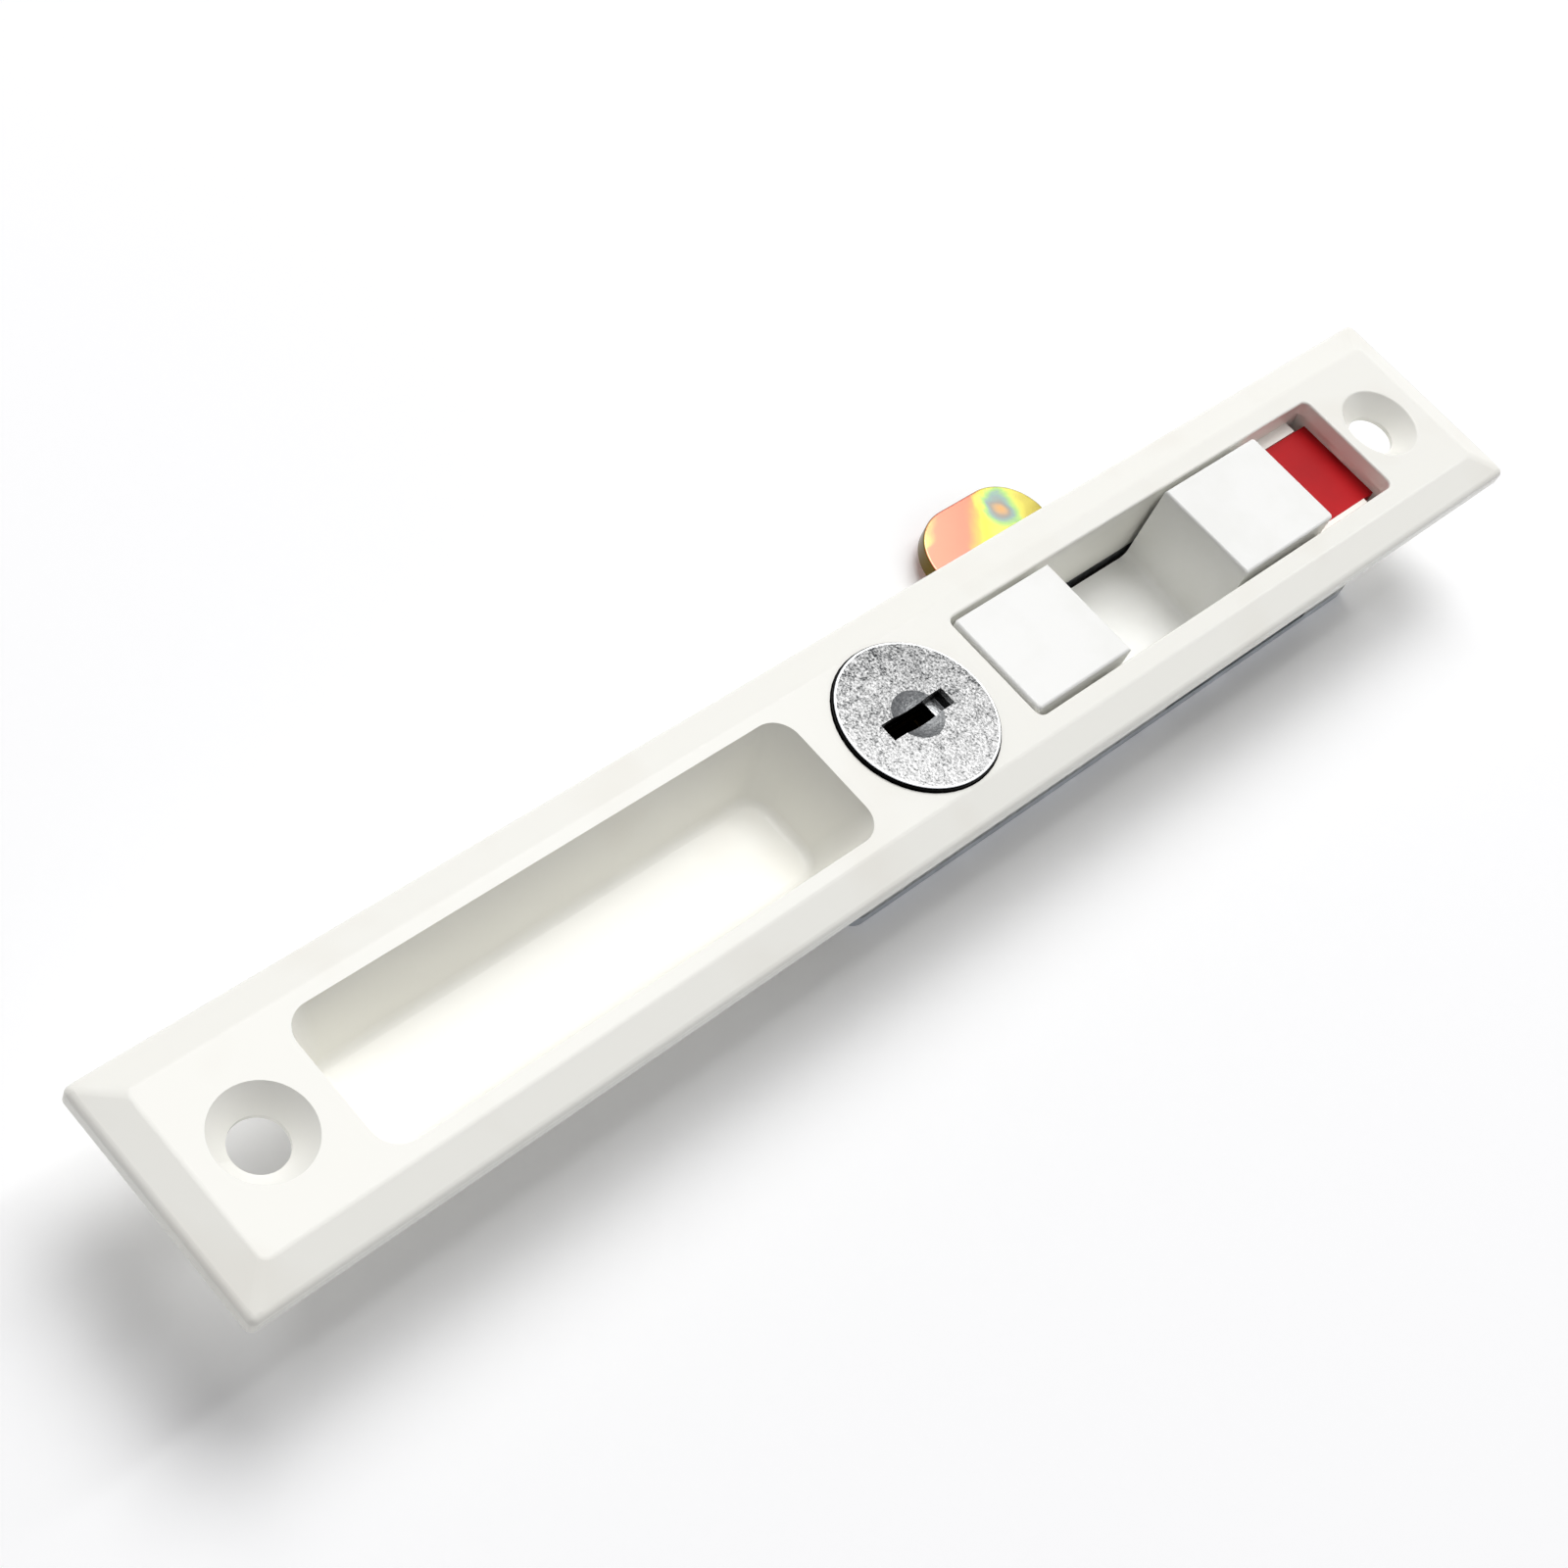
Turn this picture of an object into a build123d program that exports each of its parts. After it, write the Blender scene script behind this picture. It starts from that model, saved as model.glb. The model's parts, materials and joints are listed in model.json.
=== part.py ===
# Sliding door lock: a face plate with a finger recess, a key cylinder, a thumb slider and a hook that swings out.
# Millimetres. Z = 0 is the back of the flange, which seats on the door stile, and +Z points out of the face.
# X runs along the plate towards the slider's end, and the origin is midway between the two fixing screws.
import os
from math import cos, radians, sin, sqrt

from build123d import *

os.makedirs("parts", exist_ok=True)

# Drawing
overlap = 1.0               # how far a drawn shape runs past the edge that it joins or cuts
hole_spare = 0.2            # how much deeper a blind hole is than its screw
small_screw_angle = 90

# Face plate
plate_length = 192.4
plate_width = 27.0
plate_thickness = 3.0
bevel_width = 3.8
bevel_drop = 1.2
bevel_corner = 0.9
edge_round = 0.9
crease_round = 1.5
rim_round = 0.3             # where the face turns into the recess, window, bore and screw holes
plan_corner = 0.8
face_skin = 2.0             # metal left over the hollowed back
rim_width = 2.0
screw_from_end = 11.2
screw_hole = 5.8
screw_sink = 10.1
screw_angle = 82
screw_pad = 13.0

# Finger recess
recess_from_screw = 7.8     # from the fixing screw's axis to the recess
recess_width = 16.3
recess_corner = 3.0
recess_depth = 9.5
recess_draft = 2.6          # how far each wall leans in, from the face to the floor
recess_wall = 1.5
recess_round = 1.2
recess_web = 3.3            # face metal between the recess and the key disc's bore

# Key cylinder
disc_diameter = 18.7
disc_gap = 0.15
disc_proud = 0.6
disc_thickness = 2.4
disc_chamfer = 0.2
dimple_diameter = 6.0
dimple_depth = 0.7
keyway_length = 9.4
keyway_width = 2.2
keyway_step = 2.0           # depth of the wide part of the keyway
blade_width = 6.4
barrel_diameter = 11.0
barrel_gap = 0.07
shell_diameter = 15.4
shell_flats = 13.8
shell_flange = 1.4
shell_fit = 0.1
collar_wall = 2.0
collar_length = 6.0
clip_thickness = 0.95
clip_wall = 1.1
clip_groove = 0.7
clip_reach = 4.5            # how far its legs pass the axis
clip_gap = 0.05
shell_lift = 0.2            # from the slide plate's top to the shell's end
plug_stand = 0.05           # how far the plug's shoulder stands out of the shell
cam_gap = 0.1               # from the shell's end to the cam
catch_width = 1.5           # how much wider than the barrel the shell's two wafer grooves are
catch_gap = 0.2             # from a wafer's side to the groove's side
wafer_count = 5
wafer_pitch = 1.8
wafer_thickness = 1.0
wafer_fit = 0.05
wafer_cover = 0.6           # from the disc's underside to the wafers' room
wafer_lead = 0.1
wafer_side = 3.4            # from the axis to the wafer's plain side
lug_side = 2.3              # from the axis to the side that holds the spring
lug_width = 1.2
lug_root = 0.5              # how far the lug runs back into the wafer
blade_end_gap = 0.2
wafer_window = 6.5
wafer_steps = (0.4, -0.3, 0.5, 0.0, -0.5)
spring_diameter = 0.9
spring_wire = 0.2
spring_pocket = 3.6
tail_square = 6.0
cam_diameter = 14.0
cam_flat = 5.6              # from the axis to the cam's flat
cam_screw_core = 2.5
cam_screw_head = 5.5
cam_screw_head_height = 1.8
cam_screw_length = 2.6
cam_washer_diameter = 9.0
cam_washer_thickness = 0.55

# Window and thumb slider
window_web = 3.05           # face metal between the key disc's bore and the window
window_width = 14.8
window_corner = 1.0
slider_length = 54.0
slider_width = 13.5
slider_travel = 11.4
slider_end_gap = 0.25
slider_proud = 0.4
block_height = 3.0          # from the face to the underside of the slider's two blocks
slider_ledge_gap = 0.25
well_wall = 1.5             # the walls that go down from the window's edge
well_gap = 0.15             # from their foot to the slide plate, which keeps the slider in
well_roof = 1.2             # metal where the case widens below them
left_block = 15.7
right_block = 17.0
scoop_wall = 4.0
scoop_depth = 11.5
scoop_floor = 1.3
scoop_round = 1.0
block_round = 0.35
block_corner = 0.5
shelf_gap = 0.4             # from the shelf under the left block to the scoop's wall
web_gap = 1.0               # from the scoop's wall at full travel to the web under the indicator
slider_screw_core = 1.8
slider_screw_head = 3.6
slider_screw_length = 6.5
slider_screw_left_y = 3.6

# Slide plate
slide_thickness = 1.5
slide_side_gap = 0.9        # to the case wall, each side
slide_left = 22.0
slide_overhang = 0.4        # past the scoop's right wall
arm_gap = 0.3               # from the cam's flat to the arm
arm_reach = 9.0             # from the cylinder's axis to the arm's end
cam_clearance = 0.15
slide_corner = 0.5
track_depth = 0.3
dimple_radius = 1.3
track_margin = 2.4

# Hook
hook_thickness = 2.0
hook_side_gap = 0.05
pivot_x = 41.7
pivot_y = -2.5
pivot_diameter = 6.0
pivot_gap = 0.05
hub_diameter = 12.4
hook_swing = 90.0
head_back = 12.1            # from the pivot's X to the beak's tip
head_front = 7.5            # from the pivot's X to the head's other side
head_rise = 27.15           # from the pivot's Y to the top of the head
neck_back = 10.7
neck_rise = 13.0
beak_round = 0.8
beak_lean = 1.2
crown_rounds = (7.0, 6.0)   # on the beak's side and on the other side
crown_bulge = 0.7           # how much further from the pivot the rounded crown reaches than its middle
hook_edge = 0.25
pivot_tail = 5.0            # the pivot's riveted end
pivot_flare = 0.8
spigot_drop = 0.3           # from the slide plate's top to the spigot's end
slot_parts = 6              # pieces that each wall of the hook's slot is drawn through
pin_diameter = 2.8
pin_gap = 0.12
pin_foot_gap = 0.25         # from the drive pin's end to the cover
pin_lead = 1.8              # how far the pin has passed the pivot when the hook is out
throat_gap = 0.7            # from the face plate's edge to the throat
throat_width = 3.6
throat_depth = 6.7          # from the beak's tip to the centre of the throat's round end
spigot_diameter = 4.0
spigot_gap = 0.15
washer_upper_diameter = 9.0
washer_upper_thickness = 0.4
washer_lower_diameter = 11.4
washer_lower_thickness = 0.35
washer_top_gap = 0.25

# Case, cover and small pieces
case_width = 20.4
case_wall = 1.1
case_corner = 2.0
case_end_gap = 0.55         # from the window's end to the case's inner wall
case_left_gap = 0.5         # from the cylinder's collar to the case's inner wall
shelf_thickness = 2.0
cover_thickness = 1.5
cover_screw_core = 2.2
cover_screw_head = 4.7
cover_screw_length = 7.5
boss_diameter = 4.7
boss_depth = 9.0
boss_merge = 0.4            # how far the bosses run into the case's side walls
boss_from_right = 4.5       # from the case's inner end wall to the right bosses
boss_from_left = 2.3
boss_top_gap = 0.5          # from the indicator's ledge down to the bosses' tops
indicator_width = 11.8
indicator_thickness = 1.4
indicator_sink = 0.2
indicator_fit = 0.05
ledge_end_gap = 2.2
web_thickness = 2.95
mouth_gap = 0.4
mouth_end_gap = 1.0
heel_start = 0.5            # from the pivot to the slot for the hook's heel
leaf_thickness = 0.3
leaf_height = 2.0
leaf_length = 18.5
leaf_wall_gap = 0.05
leaf_drop = 0.5             # how far it stands below the slide plate
leaf_lead = 5.0             # from its free end to the bump
bump_half = 2.4             # half the length of the leaf's bump
detent_gap = 0.1
detent_from_end = 4.2
rivet_diameter = 1.0
rivet_head = 1.7
rivet_head_height = 0.45
rivet_from_end = 3.0

# Levels, from the face down to the cover
face_z = plate_thickness
skin_z = face_z - face_skin
block_foot = face_z - block_height
ledge_z = block_foot - slider_ledge_gap
shelf_z = ledge_z - shelf_thickness
slider_top = face_z + slider_proud
scoop_z = face_z - scoop_depth
slide_top = scoop_z - scoop_floor
slide_bottom = slide_top - slide_thickness
well_foot = slide_top + well_gap
upper_washer_top = slide_bottom - washer_top_gap
upper_washer_bottom = upper_washer_top - washer_upper_thickness
hook_top = upper_washer_bottom - hook_side_gap
hook_bottom = hook_top - hook_thickness
lower_washer_top = hook_bottom - hook_side_gap
cover_z = lower_washer_top - washer_lower_thickness
cover_bottom = cover_z - cover_thickness
recess_z = face_z - recess_depth

# Places along the plate
dimple_ball = (dimple_diameter ** 2 / 4 + dimple_depth ** 2) / (2 * dimple_depth)
bore_radius = disc_diameter / 2 + disc_gap
recess_right = -(bore_radius + recess_web)
screw_pitch = plate_length - 2 * screw_from_end
recess_length = recess_right + screw_pitch / 2 - recess_from_screw
recess_x = recess_right - recess_length / 2
window_left = bore_radius + window_web
slider_left = window_left + slider_end_gap
slider_right = slider_left + slider_length
window_right = slider_right + slider_travel + slider_end_gap
scoop_left = slider_left + left_block
scoop_right = slider_right - right_block
left_wall_x = scoop_left - scoop_wall
right_wall_x = scoop_right + scoop_wall
collar_radius = shell_diameter / 2 + shell_fit + collar_wall
cavity_left = -(collar_radius + case_left_gap)
cavity_right = window_right + case_end_gap
cavity_half = case_width / 2 - case_wall
case_left = cavity_left - case_wall
case_right = cavity_right + case_wall
well_left = window_left - well_wall
well_half = window_width / 2 + well_wall
shelf_right = left_wall_x - shelf_gap
web_left = right_wall_x + slider_travel + web_gap
boss_radius = boss_diameter / 2
boss_row = cavity_half - boss_radius + boss_merge
boss_right_x = cavity_right - boss_from_right
boss_left_x = cavity_left + boss_from_left
cover_screw_places = [(boss_right_x, boss_row), (boss_right_x, -boss_row), (boss_left_x, -boss_row)]

slide_right = right_wall_x + slide_overhang
slide_width = 2 * (cavity_half - slide_side_gap)
slider_screw_places = [((left_wall_x + scoop_left) / 2, slider_screw_left_y), ((scoop_right + right_wall_x) / 2, 0)]
track_y = slide_width / 2 - track_depth
detent_x = slide_right - detent_from_end
leaf_left = detent_x - leaf_lead
rivet_x = leaf_left + leaf_length - rivet_from_end
leaf_bottom = slide_bottom - leaf_drop
leaf_middle = leaf_bottom + leaf_height / 2
leaf_back = -cavity_half + leaf_wall_gap
leaf_front = leaf_back + leaf_thickness
bump_height = -(track_y + detent_gap) - leaf_front
bump_radius = (bump_height ** 2 + bump_half ** 2) / (2 * bump_height)
bump_y = leaf_front + bump_height - bump_radius

# Levels of the key cylinder
disc_top = face_z + disc_proud
disc_bottom = disc_top - disc_thickness
shell_seat = disc_bottom - shell_fit - shell_flange
shell_end = slide_top + shell_lift
plug_end = shell_end - plug_stand
cam_top = shell_end - cam_gap
cam_bottom = cam_top - slide_thickness
collar_foot = shelf_z + shelf_thickness - collar_length
clip_top = collar_foot - clip_gap
wafer_top = disc_bottom - wafer_cover
first_wafer = wafer_top - wafer_lead - wafer_thickness / 2
wafer_levels = [first_wafer - wafer_pitch * index for index in range(wafer_count)]
blade_end = wafer_levels[-1] - wafer_thickness / 2 - blade_end_gap
cam_washer_bottom = cam_bottom - cam_washer_thickness

# The hook's outline
head_left = pivot_x - head_back
head_right = pivot_x + head_front
head_top = pivot_y + head_rise
neck_left = pivot_x - neck_back
neck_foot = pivot_y + neck_rise
throat_low = plate_width / 2 + throat_gap
throat_high = throat_low + throat_width
crown_corners = ((head_left + beak_lean, head_top), (head_right, head_top))
hook_reach = head_rise + crown_bulge
mouth_left = head_left - mouth_end_gap
heel_left = pivot_x + heel_start

# The hook turns at a constant ratio to the slider's travel. The drive pin runs on a straight line that touches the
# circle of this radius about the pivot, so the slot's centre line is that circle's involute.
base_radius = slider_travel / radians(hook_swing)
pin_x = pivot_x + pin_lead
pin_y = pivot_y + base_radius
slot_half = pin_diameter / 2 + pin_gap


def near(value):
    """The two limits between which an edge at this place is picked."""
    return (value - 0.01, value + 0.01)


def rectangle(x0, x1, y0, y1, mode=Mode.ADD):
    """Draws a rectangle between two X and two Y limits in the open sketch."""
    with Locations(((x0 + x1) / 2, (y0 + y1) / 2)):
        Rectangle(x1 - x0, y1 - y0, mode=mode)


def recess_outline(z, grow):
    """Adds the finger recess's outline at height z, grown outwards by a wall."""
    lean = recess_draft * (face_z - z) / recess_depth
    with Locations((recess_x, 0)):
        extra = 2 * (grow - lean)
        RectangleRounded(recess_length + extra, recess_width + extra, recess_corner + grow)


def slot_point(travel, side):
    """A point of the hook's slot for one travel of the slider: side 0 is the centre line, 1 and -1 the walls."""
    turn = travel / base_radius
    reach = pin_lead + travel
    x = reach * cos(turn) - base_radius * sin(turn)
    y = reach * sin(turn) + base_radius * cos(turn)
    return (pivot_x + x + side * slot_half * cos(turn), pivot_y + y + side * slot_half * sin(turn))


def save(piece, name):
    piece.part.label = name
    export_step(piece.part, f"parts/{name}.step")


# Face plate: flange, recess pan, case walls, bearing block, ledges and bosses in one casting
with BuildPart() as face_plate:
    with BuildSketch():
        RectangleRounded(plate_length, plate_width, plan_corner)
    extrude(amount=face_z - bevel_drop)
    with BuildSketch(Plane.XY.offset(face_z - bevel_drop)):
        RectangleRounded(plate_length, plate_width, plan_corner)
    with BuildSketch(Plane.XY.offset(face_z)):
        RectangleRounded(plate_length - 2 * bevel_width, plate_width - 2 * bevel_width, bevel_corner)
    loft()
    fillet(face_plate.faces().sort_by(Axis.Z)[-1].edges(), crease_round)
    bevel_foot = face_z - bevel_drop
    fillet(face_plate.edges().filter_by_position(Axis.Z, *near(bevel_foot)), edge_round)

    # The back of the flange is hollowed to an even skin, with a rim and a pad round each screw hole.
    with BuildSketch():
        Rectangle(plate_length - 2 * rim_width, plate_width - 2 * rim_width)
        with Locations((-screw_pitch / 2, 0), (screw_pitch / 2, 0)):
            Circle(screw_pad / 2, mode=Mode.SUBTRACT)
    extrude(amount=skin_z, mode=Mode.SUBTRACT)

    # The recess pan, and the case walls with their cavity
    with BuildSketch(Plane.XY.offset(skin_z)):
        recess_outline(skin_z, recess_wall)
    with BuildSketch(Plane.XY.offset(recess_z - recess_wall)):
        recess_outline(recess_z - recess_wall, recess_wall)
    loft()
    pan_foot = recess_z - recess_wall
    fillet(face_plate.edges().filter_by_position(Axis.Z, *near(pan_foot)), recess_wall)
    with BuildSketch(Plane.XY.offset(cover_z)):
        with Locations(((case_left + case_right) / 2, 0)):
            RectangleRounded(case_right - case_left, case_width, case_corner)
            inner_corner = case_corner - case_wall
            RectangleRounded(cavity_right - cavity_left, 2 * cavity_half, inner_corner, mode=Mode.SUBTRACT)
    extrude(amount=skin_z - cover_z)

    # The well that the slider runs in: walls down from the window's edge, then the case widens for the slide plate
    with BuildSketch(Plane.XY.offset(well_foot)):
        rectangle(well_left, cavity_right, -cavity_half, cavity_half)
        rectangle(window_left, cavity_right, -window_width / 2, window_width / 2, mode=Mode.SUBTRACT)
    extrude(amount=skin_z - well_foot)
    with BuildSketch(Plane.XY.offset(well_foot + well_roof)):
        for side in (-1, 1):
            with Locations(((well_left + case_right) / 2, side * (well_half + case_width / 2) / 2)):
                Rectangle(case_right - well_left, case_width / 2 - well_half)
    extrude(amount=skin_z - well_foot - well_roof, mode=Mode.SUBTRACT)

    # The block that carries the cylinder, the shelf under the slider's left end, and the ledges round the indicator
    with BuildSketch(Plane.XY.offset(shelf_z)):
        rectangle(cavity_left, well_left, -cavity_half, cavity_half)
    extrude(amount=skin_z - shelf_z)
    with BuildSketch(Plane.XY.offset(shelf_z)):
        rectangle(well_left, shelf_right, -window_width / 2, window_width / 2)
    extrude(amount=shelf_thickness)
    with BuildSketch(Plane.XY.offset(ledge_z - web_thickness)):
        rectangle(web_left, cavity_right - ledge_end_gap, -window_width / 2, window_width / 2)
        rectangle(web_left, cavity_right, -indicator_width / 2 - indicator_fit, indicator_width / 2 + indicator_fit)
    extrude(amount=web_thickness)
    with BuildSketch(Plane.XY.offset(shelf_z - collar_length + shelf_thickness)):
        Circle(collar_radius)
    extrude(amount=collar_length - shelf_thickness)
    for place in cover_screw_places:
        with BuildSketch(Plane.XY.offset(cover_z)):
            with Locations(place):
                Circle(boss_radius)
        extrude(amount=ledge_z - boss_top_gap - cover_z)

    # Openings in the face
    with BuildSketch(Plane.XY.offset(face_z)):
        recess_outline(face_z, 0)
    with BuildSketch(Plane.XY.offset(recess_z)):
        recess_outline(recess_z, 0)
    loft(mode=Mode.SUBTRACT)
    fillet(face_plate.edges().filter_by_position(Axis.Z, *near(recess_z)), recess_round)
    with BuildSketch(Plane.XY.offset(skin_z)):
        with Locations(((window_left + window_right) / 2, 0)):
            RectangleRounded(window_right - window_left, window_width, window_corner)
    extrude(amount=face_skin, mode=Mode.SUBTRACT)
    with Locations((-screw_pitch / 2, 0, face_z), (screw_pitch / 2, 0, face_z)):
        CounterSinkHole(screw_hole / 2, screw_sink / 2, counter_sink_angle=screw_angle)

    # The cylinder's bore: round for the disc and the shell's flange, then with two flats for the shell
    with BuildSketch(Plane.XY.offset(shell_seat)):
        Circle(bore_radius)
    extrude(amount=face_z - shell_seat, mode=Mode.SUBTRACT)
    with BuildSketch(Plane.XY.offset(shell_seat)):
        Circle(shell_diameter / 2 + shell_fit)
        Rectangle(shell_diameter + overlap, shell_flats + 2 * shell_fit, mode=Mode.INTERSECT)
    extrude(amount=-(shell_seat - cover_z), mode=Mode.SUBTRACT)

    # The indicator's pocket, the hook's mouth and the slot for its heel, the screws' blind holes, the rivet's hole
    with BuildSketch(Plane.XY.offset(ledge_z)):
        rectangle(web_left, cavity_right, -indicator_width / 2 - indicator_fit, indicator_width / 2 + indicator_fit)
    extrude(amount=-(indicator_sink + indicator_thickness), mode=Mode.SUBTRACT)
    with BuildSketch(Plane.XY.offset(cover_z)):
        for side, start in ((1, mouth_left), (-1, heel_left)):
            end = pivot_x + sqrt(hook_reach ** 2 - (cavity_half - side * pivot_y) ** 2) + mouth_end_gap
            with Locations(((start + end) / 2, side * case_width / 2)):
                Rectangle(end - start, 2 * (case_wall + overlap))
    extrude(amount=hook_top + mouth_gap - cover_z, mode=Mode.SUBTRACT)
    for place in cover_screw_places:
        with BuildSketch(Plane.XY.offset(cover_z)):
            with Locations(place):
                Circle(cover_screw_core / 2)
        extrude(amount=boss_depth, mode=Mode.SUBTRACT)
    with BuildSketch(Plane.XZ.offset(case_width / 2)):
        with Locations((rivet_x, leaf_middle)):
            Circle(rivet_diameter / 2)
    extrude(amount=-case_wall, mode=Mode.SUBTRACT)
    face = face_plate.faces().filter_by(Axis.Z).sort_by(Axis.Z)[-1]
    fillet([edge for wire in face.inner_wires() for edge in wire.edges()], rim_round)
save(face_plate, "face_plate")

# Red insert that shows while the hook is out
with BuildPart() as indicator_insert:
    with BuildSketch(Plane.XY.offset(ledge_z - indicator_sink)):
        rectangle(web_left + indicator_fit, cavity_right - indicator_fit, -indicator_width / 2, indicator_width / 2)
    extrude(amount=-indicator_thickness)
save(indicator_insert, "indicator_insert")

# Thumb slider: two blocks with the scoop between them, on the two feet that the slide plate is screwed to
with BuildPart() as thumb_slider:
    with BuildSketch(Plane.XZ.offset(-slider_width / 2)):
        with BuildLine():
            Polyline(
                (slider_left, block_foot), (slider_left, slider_top), (scoop_left, slider_top),
                (scoop_left, scoop_z), (scoop_right, scoop_z), (scoop_right, slider_top),
                (slider_right, slider_top), (slider_right, block_foot), (right_wall_x, block_foot),
                (right_wall_x, slide_top), (left_wall_x, slide_top), (left_wall_x, block_foot), close=True,
            )
        make_face()
    extrude(amount=slider_width)
    corners = thumb_slider.edges().filter_by(Axis.Y).filter_by_position(Axis.Z, *near(scoop_z))
    fillet(corners, scoop_round)
    uprights = thumb_slider.edges().filter_by(Axis.Z)
    for end in (slider_left, slider_right):
        fillet(uprights.filter_by_position(Axis.X, *near(end)), block_corner)
    fillet(thumb_slider.faces().filter_by(Axis.Z).group_by(Axis.Z)[-1].edges(), block_round)
    for place in slider_screw_places:
        with BuildSketch(Plane.XY.offset(slide_top)):
            with Locations(place):
                Circle(slider_screw_core / 2)
        extrude(amount=slider_screw_length - slide_thickness + hole_spare, mode=Mode.SUBTRACT)
save(thumb_slider, "thumb_slider")

# Slide plate: it carries the slider, the drive pin, the cam's notch and the detent track
with BuildPart() as slide_plate:
    with BuildSketch(Plane.XY.offset(slide_bottom)):
        rectangle(slide_left, slide_right, -slide_width / 2, slide_width / 2)
        rectangle(-arm_reach, slide_left + overlap, cam_flat + arm_gap, slide_width / 2)
    extrude(amount=slide_thickness)
    fillet(slide_plate.edges().filter_by(Axis.Z), slide_corner)
    with BuildSketch(Plane.XY.offset(slide_bottom)):
        with Locations((0, 0), (-slider_travel, 0)):
            Circle(cam_diameter / 2 + cam_clearance)
        with Locations((pivot_x - slider_travel / 2, pivot_y)):
            SlotCenterToCenter(slider_travel, spigot_diameter + 2 * spigot_gap)
        with Locations((pin_x, pin_y)):
            Circle(pin_diameter / 2)
        rectangle(detent_x - slider_travel - track_margin, detent_x + track_margin, -slide_width, -track_y)
        for x in (detent_x, detent_x - slider_travel):
            with Locations((x, -track_y - dimple_radius / 2)):
                Circle(dimple_radius)
    extrude(amount=slide_thickness, mode=Mode.SUBTRACT)
    for x, y in slider_screw_places:
        with Locations(Plane((x, y, slide_bottom), z_dir=(0, 0, -1))):
            CounterSinkHole(slider_screw_core / 2, slider_screw_head / 2, counter_sink_angle=small_screw_angle)
save(slide_plate, "slide_plate")

with BuildPart() as slider_screws:
    for x, y in slider_screw_places:
        screw_place = Plane((x, y, slide_bottom), z_dir=(0, 0, 1))
        head_height = (slider_screw_head - slider_screw_core) / 2
        with BuildSketch(screw_place):
            Circle(slider_screw_head / 2)
        with BuildSketch(screw_place.offset(head_height)):
            Circle(slider_screw_core / 2)
        loft()
        with BuildSketch(screw_place.offset(head_height)):
            Circle(slider_screw_core / 2)
        extrude(amount=slider_screw_length - head_height)
save(slider_screws, "slider_screws")

with BuildPart() as drive_pin:
    with BuildSketch(Plane.XY.offset(slide_top)):
        with Locations((pin_x, pin_y)):
            Circle(pin_diameter / 2)
    extrude(amount=cover_z + pin_foot_gap - slide_top)
save(drive_pin, "drive_pin")

# Hook: head, beak and throat, hub, and the involute slot that the drive pin runs in
with BuildPart() as hook:
    with BuildSketch(Plane.XY.offset(hook_bottom)):
        with BuildLine():
            Polyline(
                (head_left, throat_high), *crown_corners, (head_right, throat_low),
                (pivot_x + hub_diameter / 2, pivot_y), (pivot_x - hub_diameter / 2, pivot_y),
                (neck_left, neck_foot), (neck_left, throat_low), (head_left, throat_low), close=True,
            )
        make_face()
        with Locations((pivot_x, pivot_y)):
            Circle(hub_diameter / 2)
    extrude(amount=hook_thickness)
    for (x, y), radius in zip(crown_corners, crown_rounds):
        fillet(hook.edges().filter_by(Axis.Z).sort_by_distance((x, y, hook_bottom))[0], radius)
    with BuildSketch(Plane.XY.offset(hook_bottom)):
        rectangle(head_left - overlap, head_left + throat_depth, throat_low, throat_high)
        with Locations((head_left + throat_depth, (throat_low + throat_high) / 2)):
            Circle(throat_width / 2)
    extrude(amount=hook_thickness, mode=Mode.SUBTRACT)
    tips = hook.edges().filter_by(Axis.Z).filter_by_position(Axis.X, near(head_left)[0], near(neck_left)[1])
    fillet(tips.filter_by_position(Axis.Y, near(throat_low)[0], near(throat_high)[1]), beak_round)
    fillet(hook.faces().sort_by(Axis.Z)[-1].edges(), hook_edge)
    with BuildSketch(Plane.XY.offset(hook_bottom)):
        with Locations((pivot_x, pivot_y)):
            Circle(pivot_diameter / 2 + pivot_gap)
    extrude(amount=hook_thickness, mode=Mode.SUBTRACT)
    with BuildSketch(Plane.XY.offset(hook_bottom)):
        travels = [slider_travel * step / slot_parts for step in range(slot_parts + 1)]
        with BuildLine():
            inner = Spline([slot_point(travel, 1) for travel in travels])
            outer = Spline([slot_point(travel, -1) for travel in travels])
            Line(inner @ 0, outer @ 0)
            Line(inner @ 1, outer @ 1)
        make_face()
        with Locations(slot_point(0, 0), slot_point(slider_travel, 0)):
            Circle(slot_half)
    extrude(amount=hook_thickness, mode=Mode.SUBTRACT)
save(hook, "hook")

# Pivot: a shoulder for the hook, a spigot that guides the slide plate, and a tail riveted into the cover
with BuildPart() as hook_pivot:
    steps = (
        (cover_bottom, cover_z, pivot_tail),
        (cover_z, upper_washer_bottom, pivot_diameter),
        (upper_washer_bottom, slide_top - spigot_drop, spigot_diameter),
    )
    for low, high, diameter in steps:
        with BuildSketch(Plane.XY.offset(low)):
            with Locations((pivot_x, pivot_y)):
                Circle(diameter / 2)
        extrude(amount=high - low)
    with BuildSketch(Plane.XY.offset(cover_bottom)):
        with Locations((pivot_x, pivot_y)):
            Circle(pivot_tail / 2 + pivot_flare)
    with BuildSketch(Plane.XY.offset(cover_bottom + pivot_flare)):
        with Locations((pivot_x, pivot_y)):
            Circle(pivot_tail / 2)
    loft()
save(hook_pivot, "hook_pivot")

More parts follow.
